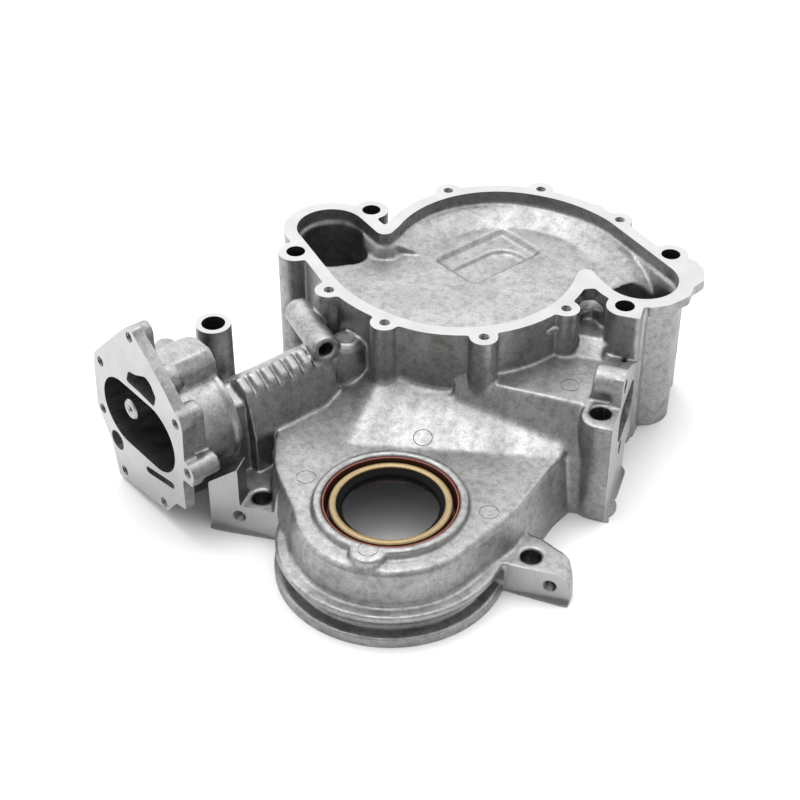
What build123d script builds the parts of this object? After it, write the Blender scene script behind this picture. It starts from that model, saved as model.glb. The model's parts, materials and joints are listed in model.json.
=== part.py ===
from build123d import *
import os
from math import cos, radians, sin

# Timing cover of a V8 engine, cast aluminium, lying on its gasket face.
# The origin is the crank axis on the gasket face. +X is right, +Y is engine up and +Z is engine front.

# How far a form or a cut reaches past the face that it crosses
over = 1.0

# Timing chest: the box over the crank nose, the chain and the cam gear
chest_h = 38.0
chest_draft = 5.0
chest_wall = 6.5
chest_front_wall = 5.0
chest_edge = 2.0
snout_foot_r = 51.1
pan_face_y = -1.3

# Rings that the oil pan seal wraps around
snout_rim_r = 57.5
snout_rim_h = 5.3
snout_flange_r = 56.5
snout_flange_low = 14.0
snout_flange_high = 18.0
snout_groove_r = 50.0
snout_cut_size = (130.0, 80.0)

# Crank seal and its boss
seal_bore_d = 66.7
seal_boss_h = 42.2
seal_boss_r = 37.8
seal_ear_r = 9.0
seal_ear_place = (1.1, -36.8)
seal_depth = 11.0
seal_recess = 1.2
seal_shaft_d = 47.0
seal_clear_bore_r = 30.5
seal_shoulder_t = 4.0
sheet = 1.2
case_hole_r = 27.0
ring_outer_r = 29.9
ring_inner_r = 26.4
ring_recess = 0.6
lip_edge_depth = 5.2
lip_edge_t = 1.0
lip_back = 0.9
spring_seat_w = 1.7
spring_groove_w = 2.4
spring_seat_depth = 5.9
spring_wire_r = 0.9
spring_gap = 0.05

# Water pump face, its pocket and its two water passages
rim_h = 85.0
rim_wall = 7.2
rim_lip_t = 6.0
rim_lip_round = 2.0
pocket_step = 8.0
pocket_floor_h = 71.0
pocket_step_w = 1.4
pocket_taper = 25.0
dish_place = (13.7, 161.2)
dish_r = 64.6
dish_slope_w = 14.6
recess_place = (-2.2, 179.2)
recess_size = (51.0, 33.0)
recess_depth = 3.5
recess_slot_depth = 2.5
recess_under_h = 60.0
recess_wall = 4.0
recess_round = 4.0
recess_taper = 35.0
recess_slot_size = (40.0, 20.0)
recess_slot_shift = (-2.0, -4.0)
recess_slot_round = 13.0
recess_slot_taper = 30.0
throat_h = 60.0
throat_taper = 15.0
throat_round = 28.0
throat_x = 62.0
throat_reach = 120.0
screw_boss_r = 7.3
bolt_boss_r = 9.6
passage_place = (-85.8, 159.0)
passage_r = 17.2
passage_side_place = (-75.0, 156.5)
passage_side_r = 9.5
right_column_top = (86.0, 160.0)
right_column_top_r = 22.2
right_column_foot = (91.5, 161.5)
right_column_foot_r = 16.0
right_passage_r = 12.0
right_mouth_place = (87.0, 159.5)
right_mouth_r = 17.0
pocket_floor_t = 5.0
overhang_y = 197.0
overhang_size = (118.0, 60.0)
overhang_mid_x = 4.0
column_web_h = 22.0
overhang_h = 60.0

# Threads and through bolts
screw_hole_r = 2.6
screw_hole_depth = 18.0
screw_depth_step = 0.12
bolt_hole_r = 5.1
pan_hole_r = 5.15
pan_thread_r = 3.3
pan_thread_depth = 17.0

# Oil pump body and the shaft housing that feeds it, along a slanted axis
drive_angle = 57.5
drive_h = 51.5
drive_t = -102.0
gear_pitch = 26.0
gear_pocket_r = 19.2
gear_pocket_depth = 27.0
pump_face_s = -67.6
pump_flange_t = 6.5
pump_rear_s = -32.0
pump_wall = 6.0
pump_screw_boss_r = 4.8
pump_screw_depth = 10.0
pump_screw_floor = 2.4
pump_top_boss_place = (-114.6, 96.0)
pump_top_boss_size = (9.6, 27.6)
pump_top_boss_t = 11.5
pump_side_boss_place = (-79.8, 68.1)
pump_side_boss_size = (11.5, 25.0)
pump_side_boss_t = 13.5
pump_boss_round = 4.6
pump_lump_place = (-99.5, 83.5)
pump_lump_r = 7.0
pump_lump_t = 14.0
pump_low_boss_r = 5.8
pump_low_boss_t = 16.0
pump_rear_rim_w = 1.2
pump_rear_rim_t = 3.0
pump_foot_s = -52.0
port_depth = 17.0
oil_slot_place = (-99.5, 27.0)
oil_slot_size = (27.0, 4.0)
oil_slot_turn = 11.0
oil_slot_depth = 5.0
inlet_port = (-139.5, 26.3)
inlet_s = -45.5
inlet_r = 5.7
inlet_rise_r = 5.1
shaft_bore_r = 6.4
idler_r = 5.7
idler_recess = 3.0
idler_bore_depth = 37.0
idler_centre_r = 1.6
arm_start_s = -21.0
arm_end_s = 34.0
arm_tube_r = 10.8
arm_crown_h = 66.8
arm_core_size = (44.0, 20.0)
arm_core_taper = 2.0
rib_count = 6
rib_first_s = -18.8
rib_pitch = 7.5
rib_w = 5.0

# Fuel pump face and the bolt columns beside it
shelf_h = 59.5
fuel_face_x = 93.5
fuel_bolt_pitch = 39.0
fuel_bolt_y = 91.0
fuel_bolt_mid_h = 46.5
fuel_boss_r = 9.0
fuel_boss_l = 15.5
fuel_plate_t = 5.0
fuel_bolt_hole_r = 3.9
fuel_bolt_depth = 15.0
fuel_open_y = 100.5
fuel_open_h = 43.5
fuel_open_w = 37.0
fuel_open_tall = 22.0
fuel_open_round = 9.0
fuel_open_depth = 45.0
column_r = 11.2
column_hole_r = 5.35
column_place = (85.0, 74.6)
column_mid = (86.5, 73.2)
tube_boss_r = 9.25
tube_bore_r = 6.1
tube_boss_h = 82.0
tube_boss_place = (-113.5, 57.7)

# Pan rail ears
ear_h = 17.5
ear_round = 9.7
ear_end_x = 90.4
ear_reach = 30.0
ear_block_t = 12.0

# Cam gear and distributor gear spaces behind the water pump floor
cored_from_h = 20.0
cam_space_place = (-8.0, 148.0)
cam_space_r = 52.0
cam_side_place = (10.0, 158.0)
cam_side_r = 36.0
distributor_s = 97.0
distributor_bore_r = 14.5
distributor_boss_r = 21.0
distributor_boss_l = 66.0
distributor_web_s = 172.0
distributor_web_w = 22.0
distributor_shaft_r = 8.0
distributor_tube_r = 12.0
distributor_tube_s = (113.0, 192.0)
distributor_end_s = 216.0
distributor_bore_depth = 38.0
distributor_clamp_place = (-79.0, 56.0)
distributor_clamp_r = 8.0
distributor_clamp_hole_r = 3.3
distributor_clamp_depth = 15.0

# Rounded pad beside the water pump wall
pad_place = (-51.5, 85.5)
pad_r = 9.5
pad_h = 68.0
pad_chamfer = 2.8

# Oil gallery boss that crosses the shaft housing
gallery_h = 68.3
gallery_r = 7.6
gallery_l = 40.6
gallery_bore_r = 4.0
gallery_bore_depth = 30.0
gallery_near = (-57.6, 70.8)
gallery_far = (-84.0, 100.0)

drive_dir = Vector(cos(radians(drive_angle)), sin(radians(drive_angle)), 0)
drive_side = Vector(sin(radians(drive_angle)), -cos(radians(drive_angle)), 0)
recess_h = pocket_floor_h - recess_depth
seal_top = seal_boss_h - seal_recess
seal_bottom = seal_top - seal_depth
seal_r = seal_bore_d / 2
lip_r = seal_shaft_d / 2
ring_top = seal_top - ring_recess
rubber_r = ring_outer_r - sheet
spring_seat_r = lip_r + spring_seat_w
spring_seat_h = seal_top - spring_seat_depth
skirt_r = spring_seat_r + spring_groove_w
lip_low = spring_seat_h - 2 * spring_wire_r
spring_r = spring_seat_r + spring_wire_r + spring_gap
spring_h = spring_seat_h - spring_wire_r * cos(radians(30))

water_bolts = [(-95.9, 129.5), (-71.0, 182.6), (82.8, 132.8), (96.2, 188.5)]
water_screws = [(-66.6, 100.2), (-29.8, 81.0), (21.4, 84.3), (54.6, 121.4), (62.7, 214.9), (13.2, 233.7),
                (-36.5, 216.2)]
pump_screws = [(-114.6, 105.0), (-147.4, 72.3), (-151.2, 40.1), (-136.1, 8.2), (-98.7, 11.3), (-72.7, 47.3),
               (-79.3, 73.6)]
fuel_bolts = [(fuel_bolt_y, fuel_bolt_mid_h + side * fuel_bolt_pitch / 2) for side in (1, -1)]
gallery_dir = (gallery_far[0] - gallery_near[0], gallery_far[1] - gallery_near[1], 0)
pan_holes = [(-70.6, 8.4), (68.4, 8.2)]
pan_threads = [(-79.8, 10.4), (80.1, 9.4)]


def drive_plane(s):
    """Upright plane across the pump drive, s along it, with local x to its near side and local y up."""
    return Plane(origin=drive_dir * s, x_dir=drive_side, z_dir=-drive_dir)


def on_drive(t, s, h):
    """Point at t across the pump drive, s along it and h above the gasket face."""
    return drive_side * t + drive_dir * s + Vector(0, 0, h)


def pocket_outline():
    """Inner edge of the water pump face, clockwise from the left tongue."""
    with BuildLine() as edge:
        ThreePointArc((-50.8, 172.0), (-33.6, 208.8), (8.6, 226.4))
        ThreePointArc((8.6, 226.4), (34.2, 223.0), (58.2, 211.0))
        Line((58.2, 211.0), (98.1, 175.7))
        ThreePointArc((98.1, 175.7), (105.4, 159.0), (88.9, 141.4))
        ThreePointArc((88.9, 141.4), (80.0, 142.2), (72.1, 146.8))
        Line((72.1, 146.8), (61.8, 156.9))
        ThreePointArc((61.8, 156.9), (57.4, 160.6), (53.2, 157.6))
        Line((53.2, 157.6), (52.6, 152.5))
        ThreePointArc((52.6, 152.5), (37.0, 107.5), (-10.4, 85.8))
        ThreePointArc((-10.4, 85.8), (-42.6, 94.2), (-71.4, 115.9))
        Line((-71.4, 115.9), (-97.7, 143.8))
        ThreePointArc((-97.7, 143.8), (-98.9, 172.6), (-74.5, 173.2))
        Line((-74.5, 173.2), (-61.4, 162.0))
        ThreePointArc((-61.4, 162.0), (-56.6, 160.2), (-52.3, 165.0))
        Line((-52.3, 165.0), (-50.8, 172.0))
    return edge.line


arm_core_place = on_drive(drive_t + 5.0, 8.0, 0)

# Sloping faces of the chest front
ramp_front = Plane(origin=(30, 52, chest_h), x_dir=(0.979, 0.203, 0), z_dir=(0.0788, -0.380, 1.0))
ramp_side = Plane(origin=(-59.5, 68, chest_h), x_dir=(0.629, -0.777, 0), z_dir=(-0.378, -0.306, 1.0))
shelf_front = Plane(origin=(45.0, 79.9, shelf_h), x_dir=(0.999, -0.053, 0), z_dir=(-0.046, -0.862, 0.506))
notch_front = Plane(origin=(70.0, 117.0, shelf_h), x_dir=(1, 0, 0), z_dir=(0, -0.545, 0.839))
throat_start = Plane(origin=(46.2, 158.6, 0), x_dir=(0.66, 0.75, 0), z_dir=(0.75, -0.66, 0))
throat_side = Plane(origin=throat_start.origin, x_dir=(0.75, -0.66, 0), z_dir=(-0.66, -0.75, 0))

# Timing chest with the round snout below the crank axis
with BuildPart() as chest:
    with BuildSketch(Plane.XY):
        with BuildLine():
            Polyline((47.6, -18.6), (60.3, 9.5), (65.2, 29.2), (70.2, 51.2), (74.8, 63.4), (76.0, 120.0),
                     (-94.0, 120.0), (-94.0, 84.0), (-80.0, 62.0), (-73.5, 48.0), (-75.6, 38.0),
                     (-75.0, 30.0), (-69.0, 13.0), (-60.0, -3.0), (-47.2, -19.6))
            ThreePointArc((-47.2, -19.6), (0, -snout_foot_r), (47.6, -18.6))
        make_face()
    extrude(amount=chest_h, taper=chest_draft)
    chamfer(chest.faces().sort_by(Axis.Z)[-1].edges().group_by(Axis.Y)[0], chest_edge)

# Rounded rings and the groove of the oil pan seal
with BuildPart() as snout:
    with BuildSketch(Plane.XZ):
        with BuildLine():
            Polyline((0, 0), (snout_rim_r, 0), (snout_rim_r, snout_rim_h), (snout_groove_r, snout_rim_h),
                     (snout_groove_r, snout_flange_low), (snout_flange_r, snout_flange_low),
                     (snout_flange_r, snout_flange_high), (0, snout_flange_high), (0, 0))
        make_face()
    revolve(axis=Axis.Z)
    split(bisect_by=Plane.XZ.offset(-pan_face_y), keep=Keep.TOP)

# Water pump pod: wall, screw bosses and bolt columns under one machined face
with BuildPart() as water_pod:
    with BuildSketch(Plane.XY):
        add(pocket_outline())
        make_face()
        offset(amount=rim_wall)
        with Locations(*water_screws):
            Circle(screw_boss_r)
        with Locations(*water_bolts):
            Circle(bolt_boss_r)
        with BuildLine():
            Polyline((50.0, 140.0), (59.0, 141.3), (67.3, 145.0), (73.0, 141.0), (66.0, 152.0), (58.0, 156.0),
                     (50.0, 140.0))
        make_face()
    extrude(amount=rim_h)
    with BuildSketch(Plane.XY.offset(column_web_h)):
        with BuildLine():
            Polyline((92.6, 123.3), (92.2, 136.0), (78.0, 140.0), (82.2, 123.3), (92.6, 123.3))
        make_face()
    extrude(amount=rim_h - column_web_h)
    with BuildSketch(Plane.XY):
        with Locations((overhang_mid_x, overhang_y + overhang_size[1] / 2)):
            Rectangle(*overhang_size)
    extrude(amount=overhang_h, mode=Mode.SUBTRACT)
    with BuildSketch(Plane.XY):
        with BuildLine():
            Polyline((92.8, 118.0), (125.0, 118.0), (125.0, 184.0), (106.0, 184.0), (96.0, 178.0),
                     (92.8, 118.0))
        make_face()
    extrude(amount=rim_h - rim_lip_t, mode=Mode.SUBTRACT)
    with BuildSketch(Plane.XY.offset(rim_h - rim_lip_t)):
        with Locations(right_column_top):
            Circle(right_column_top_r)
    with BuildSketch(Plane.XY):
        with Locations(right_column_foot):
            Circle(right_column_foot_r)
    loft()
    with BuildSketch(Plane.XY.offset(rim_h - rim_lip_t)) as lip_outline:
        with BuildLine():
            Polyline((95.5, 134.6), (104.7, 140.4), (113.0, 151.7), (113.5, 160.7), (117.9, 169.0),
                     (115.6, 179.3), (109.5, 187.0), (98.0, 186.0), (95.5, 134.6))
        make_face()
        fillet(lip_outline.vertices().group_by(Axis.X)[1:], rim_lip_round)
    extrude(amount=rim_lip_t)

# Bright ramp between the chest front and the water pump wall
with BuildPart() as ramp:
    with BuildSketch(Plane.XY):
        with BuildLine():
            Polyline((-38.0, 33.0), (20.0, 46.0), (70.0, 58.0), (72.0, 96.0), (-46.0, 100.0), (-66.0, 72.0),
                     (-38.0, 33.0))
        make_face()
    extrude(amount=shelf_h)
    split(bisect_by=ramp_front, keep=Keep.BOTTOM)
    split(bisect_by=ramp_side, keep=Keep.BOTTOM)

# Shelf and block behind the fuel pump face
with BuildPart() as fuel_block:
    with BuildSketch(Plane.XY):
        with BuildLine():
            Polyline((8.0, 70.0), (24.0, 62.0), (75.0, 64.0), (fuel_face_x, 66.4), (fuel_face_x, 104.0),
                     (84.0, 126.0), (60.0, 136.0), (18.0, 100.0), (8.0, 84.0), (8.0, 70.0))
        make_face()
    extrude(amount=shelf_h)
    split(bisect_by=shelf_front, keep=Keep.BOTTOM)
    with BuildSketch(Plane.XY):
        with BuildLine():
            Polyline((column_mid[0], column_mid[1] - column_r), (fuel_face_x, column_mid[1] - column_r),
                     (fuel_face_x, column_mid[1] + column_r / 2),
                     (column_mid[0], column_mid[1] + column_r / 2),
                     (column_mid[0], column_mid[1] - column_r))
        make_face()
        with Locations(column_mid):
            Circle(column_r)
    extrude(amount=shelf_h)
    with BuildSketch(Plane.YZ.offset(fuel_face_x - fuel_boss_l)):
        with Locations(*fuel_bolts):
            Circle(fuel_boss_r)
    extrude(amount=fuel_boss_l)
    with BuildSketch(Plane.YZ.offset(fuel_face_x - fuel_plate_t)):
        with BuildLine():
            Polyline((64.0, 18.0), (84.0, 15.0), (119.8, 16.0), (126.5, 31.0), (124.0, 58.0), (104.0, 70.0),
                     (92.0, 75.0), (84.0, 74.0), (80.4, shelf_h), (64.0, shelf_h), (64.0, 18.0))
        make_face()
    extrude(amount=fuel_plate_t)

# Block that closes the notch between the water pump wall and its right bolt column
with BuildPart() as notch_block:
    with BuildSketch(Plane.XY):
        with BuildLine():
            Polyline((57.0, 112.0), (74.0, 112.0), (77.0, 128.0), (72.0, 144.0), (58.0, 143.0), (57.0, 112.0))
        make_face()
    extrude(amount=pocket_floor_h - pocket_floor_t)
    split(bisect_by=notch_front, keep=Keep.BOTTOM)

# Ears on the pan rail, with the block under the oil pump
with BuildPart() as ears:
    with BuildSketch(Plane.XY):
        with BuildLine():
            Polyline((54.0, pan_face_y), (90.6, pan_face_y), (90.6, 6.0), (86.4, 14.0), (78.3, 18.0),
                     (69.9, 22.7), (62.0, 24.0), (54.0, 12.0), (54.0, pan_face_y))
        make_face()
    extrude(amount=ear_h + over)
    with BuildSketch(Plane.XZ.offset(-pan_face_y)):
        with BuildLine():
            Polyline((54.0, 0), (ear_end_x, 0), (ear_end_x, ear_h - ear_round))
            RadiusArc((ear_end_x, ear_h - ear_round), (ear_end_x - ear_round, ear_h), -ear_round)
            Polyline((ear_end_x - ear_round, ear_h), (54.0, ear_h), (54.0, 0))
        make_face()
    extrude(amount=-ear_reach, mode=Mode.INTERSECT)
    with BuildSketch(Plane.XY):
        with BuildLine():
            Polyline((-54.0, pan_face_y), (-95.2, pan_face_y), (-95.2, 26.7), (-84.0, 40.0), (-60.0, 40.0),
                     (-54.0, pan_face_y))
        make_face()
    extrude(amount=ear_h)
    with BuildSketch(Plane.XZ.offset(-pan_face_y)):
        with BuildLine():
            Polyline((-95.2, 0), (-79.0, 0), (-79.0, 40.7), (-95.2, 28.8), (-95.2, 0))
        make_face()
    extrude(amount=-ear_block_t)

# Oil pump body: face flange, gear housing, rear rim and the ducts above it
with BuildPart() as pump_body:
    with BuildSketch(drive_plane(pump_face_s)) as flange_outline:
        with BuildLine():
            Polyline((-152.5, 75.0), (-148.8, 78.9), (-120.1, 106.7), (-111.3, 110.9), (-109.2, 108.0),
                     (-96.9, 98.5), (-85.6, 88.5), (-76.0, 78.0), (-73.3, 73.6), (-74.5, 52.0), (-68.5, 50.0),
                     (-68.5, 40.6), (-77.4, 40.6), (-77.4, 20.4), (-86.0, 19.0), (-95.6, 7.3), (-142.0, 1.5),
                     (-146.1, 22.1), (-156.3, 39.0), (-154.5, 65.7), (-152.5, 75.0))
        make_face()
    extrude(amount=-pump_flange_t)
    with BuildSketch(drive_plane(pump_face_s)):
        with Locations(pump_screws[1], pump_screws[2], pump_screws[4]):
            Circle(pump_screw_boss_r)
    extrude(amount=-pump_screw_depth - pump_screw_floor)
    with BuildSketch(drive_plane(pump_face_s)):
        with Locations(pump_top_boss_place):
            RectangleRounded(*pump_top_boss_size, pump_boss_round)
    extrude(amount=-pump_top_boss_t)
    with BuildSketch(drive_plane(pump_face_s)):
        with Locations(pump_lump_place):
            Circle(pump_lump_r)
    extrude(amount=-pump_lump_t)
    with BuildSketch(drive_plane(pump_face_s)):
        with Locations(pump_side_boss_place):
            RectangleRounded(*pump_side_boss_size, pump_boss_round)
    extrude(amount=-pump_side_boss_t)
    with BuildSketch(drive_plane(pump_face_s)):
        with Locations(pump_screws[5]):
            Circle(pump_low_boss_r)
    extrude(amount=-pump_low_boss_t)
    with BuildSketch(drive_plane(pump_face_s)):
        with Locations((drive_t - gear_pitch / 2, drive_h)):
            SlotCenterToCenter(gear_pitch, 2 * (gear_pocket_r + pump_wall))
    extrude(amount=-(pump_rear_s - pump_face_s))
    with BuildSketch(drive_plane(pump_rear_s)):
        with Locations((drive_t - gear_pitch / 2, drive_h)):
            SlotCenterToCenter(gear_pitch, 2 * (gear_pocket_r + pump_wall + pump_rear_rim_w))
    extrude(amount=pump_rear_rim_t)
    with BuildSketch(drive_plane(pump_face_s)):
        with BuildLine():
            Polyline((-123.5, 64.0), (-123.5, 82.0), (-117.0, 88.4), (-111.0, 91.0), (-99.5, 91.0),
                     (-95.0, 86.0), (-95.0, 64.0), (-123.5, 64.0))
        make_face()
    extrude(amount=-(pump_rear_s - pump_face_s))
    with BuildSketch(drive_plane(pump_face_s)):
        with BuildLine():
            Polyline((-142.0, 1.5), (-108.0, 5.5), (-102.0, 18.0), (-94.0, 34.0), (-100.0, 50.0),
                     (-145.0, 50.0), (-142.0, 1.5))
        make_face()
    extrude(amount=-(pump_rear_s - pump_face_s))
    with BuildSketch(drive_plane(pump_foot_s)):
        with BuildLine():
            Polyline((-147.0, 0), (-106.0, 0), (-102.0, 18.0), (-94.0, 34.0), (-100.0, 50.0), (-147.0, 50.0),
                     (-147.0, 0))
        make_face()
    extrude(amount=-(pump_rear_s - pump_foot_s))

# Shaft housing from the pump to the chest, its ribs and the bolt column behind it
with BuildPart() as arm:
    with BuildSketch(drive_plane(arm_start_s)):
        with BuildLine():
            Polyline((drive_t - arm_tube_r, drive_h), (drive_t - arm_tube_r, 0), (-81.0, 0),
                     (-81.6, chest_h), (-86.8, 60.0), (-95.5, arm_crown_h - over), (-97.0, arm_crown_h),
                     (-100.5, arm_crown_h), (drive_t, drive_h + arm_tube_r))
            RadiusArc((drive_t, drive_h + arm_tube_r), (drive_t - arm_tube_r, drive_h), -arm_tube_r)
        make_face()
    extrude(amount=-(arm_end_s - arm_start_s))
    with BuildSketch(drive_plane(pump_rear_s)):
        with BuildLine():
            Polyline((drive_t - arm_tube_r, drive_h), (drive_t - arm_tube_r, 0), (-86.0, 0), (-88.5, 58.0),
                     (drive_t, drive_h + arm_tube_r))
            RadiusArc((drive_t, drive_h + arm_tube_r), (drive_t - arm_tube_r, drive_h), -arm_tube_r)
        make_face()
    extrude(amount=-(arm_start_s - pump_rear_s))
    for i in range(rib_count):
        with BuildSketch(drive_plane(rib_first_s + i * rib_pitch - rib_w / 2)):
            with BuildLine():
                Polyline((-86.0, 57.0), (-87.2, 62.6), (-88.6, 64.6), (-95.6, 68.2), (-98.4, arm_crown_h),
                         (-96.0, 60.0), (-86.0, 57.0))
            make_face()
        extrude(amount=-rib_w)
    with BuildSketch(Plane.XY):
        with Locations(tube_boss_place):
            Circle(tube_boss_r)
    extrude(amount=tube_boss_h)
    with BuildSketch(Plane(origin=(*gallery_near, gallery_h), x_dir=(0, 0, 1), z_dir=gallery_dir)):
        Circle(gallery_r)
    extrude(amount=gallery_l)
    with BuildSketch(Plane.XY):
        with BuildLine():
            Polyline((-115.9, 52.5), (-101.6, 43.3), (-95.2, 53.5), (-109.5, 62.6), (-115.9, 52.5))
        make_face()
    extrude(amount=drive_h)

# Rounded pad where the shaft housing meets the water pump wall
with BuildPart() as corner_pad:
    with BuildSketch(Plane.XY):
        with Locations(pad_place):
            Circle(pad_r)
    extrude(amount=pad_h)
    chamfer(corner_pad.edges().sort_by(Axis.Z)[-1], pad_chamfer)

# Distributor body behind the water pump, on the far side
with BuildPart() as distributor_boss:
    with BuildSketch(drive_plane(distributor_end_s)):
        with Locations((drive_t, drive_h)):
            Circle(distributor_boss_r)
    extrude(amount=distributor_boss_l)
    with BuildSketch(drive_plane(distributor_end_s)):
        with Locations(distributor_clamp_place):
            Circle(distributor_clamp_r)
    extrude(amount=distributor_clamp_depth + chest_front_wall)
    with BuildSketch(drive_plane(distributor_web_s)):
        with Locations((drive_t, drive_h / 2)):
            Rectangle(distributor_web_w, drive_h)
    extrude(amount=distributor_web_w)

# Inner tube that carries the distributor shaft under the water pump floor
with BuildPart() as distributor_tube:
    with BuildSketch(drive_plane(distributor_tube_s[1])):
        with Locations((drive_t, drive_h)):
            Circle(distributor_tube_r)
        with Locations((drive_t, (drive_h + pocket_floor_h) / 2)):
            Rectangle(distributor_tube_r, pocket_floor_h - drive_h - 2 * over)
    extrude(amount=distributor_tube_s[1] - distributor_tube_s[0])

# Space under the ramp, a wall's thickness below it
with BuildPart() as ramp_space:
    with BuildSketch(Plane.XY.offset(cored_from_h)):
        with BuildLine():
            Polyline((-30.0, 48.0), (18.0, 54.0), (62.0, 64.0), (60.0, 92.0), (-20.0, 100.0), (-44.0, 80.0),
                     (-30.0, 48.0))
        make_face()
    extrude(amount=shelf_h - cored_from_h)
    split(bisect_by=ramp_front.offset(-chest_wall), keep=Keep.BOTTOM)
    split(bisect_by=ramp_side.offset(-chest_wall), keep=Keep.BOTTOM)

# Floor of the water pump pocket: flat in the middle, and rising like a dish to the far wall
with BuildPart() as pocket_floor:
    with BuildSketch(Plane.XY.offset(rim_h - pocket_step)):
        add(pocket_outline())
        make_face()
        offset(amount=-pocket_step_w)
    extrude(amount=-(rim_h - pocket_step - pocket_floor_h), taper=pocket_taper)
    with BuildSketch(Plane.XY.offset(pocket_floor_h)):
        with BuildLine():
            Polyline((-115.0, 75.0), (-115.0, 190.0), (-64.0, 190.0), (-54.0, 164.0), (-36.0, 168.0),
                     (-22.0, 192.0), (6.0, 209.0), (30.0, 206.0), (52.0, 193.0), (61.0, 176.0), (62.0, 150.0),
                     (62.0, 75.0), (-115.0, 75.0))
        make_face()
    extrude(amount=rim_h - pocket_step - pocket_floor_h, mode=Mode.INTERSECT)
    with BuildSketch(Plane.XY.offset(rim_h - pocket_step)):
        with Locations(dish_place):
            Circle(dish_r)
    with BuildSketch(Plane.XY.offset(pocket_floor_h)):
        with Locations(dish_place):
            Circle(dish_r - dish_slope_w)
    loft()

# Mouth of the right water passage, which rolls over from the floor into the column
with BuildPart() as throat:
    with BuildSketch(Plane.XY.offset(rim_h - pocket_step)):
        add(pocket_outline())
        make_face()
        offset(amount=-pocket_step_w)
    extrude(amount=-(rim_h - pocket_step - throat_h), taper=throat_taper)
    split(bisect_by=throat_start, keep=Keep.TOP)
    split(bisect_by=Plane.YZ.offset(throat_x), keep=Keep.TOP)
    with BuildSketch(throat_side):
        with Locations((0, rim_h - pocket_step - throat_round - over)):
            Circle(throat_round)
    extrude(amount=throat_reach, both=True, mode=Mode.SUBTRACT)

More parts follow.
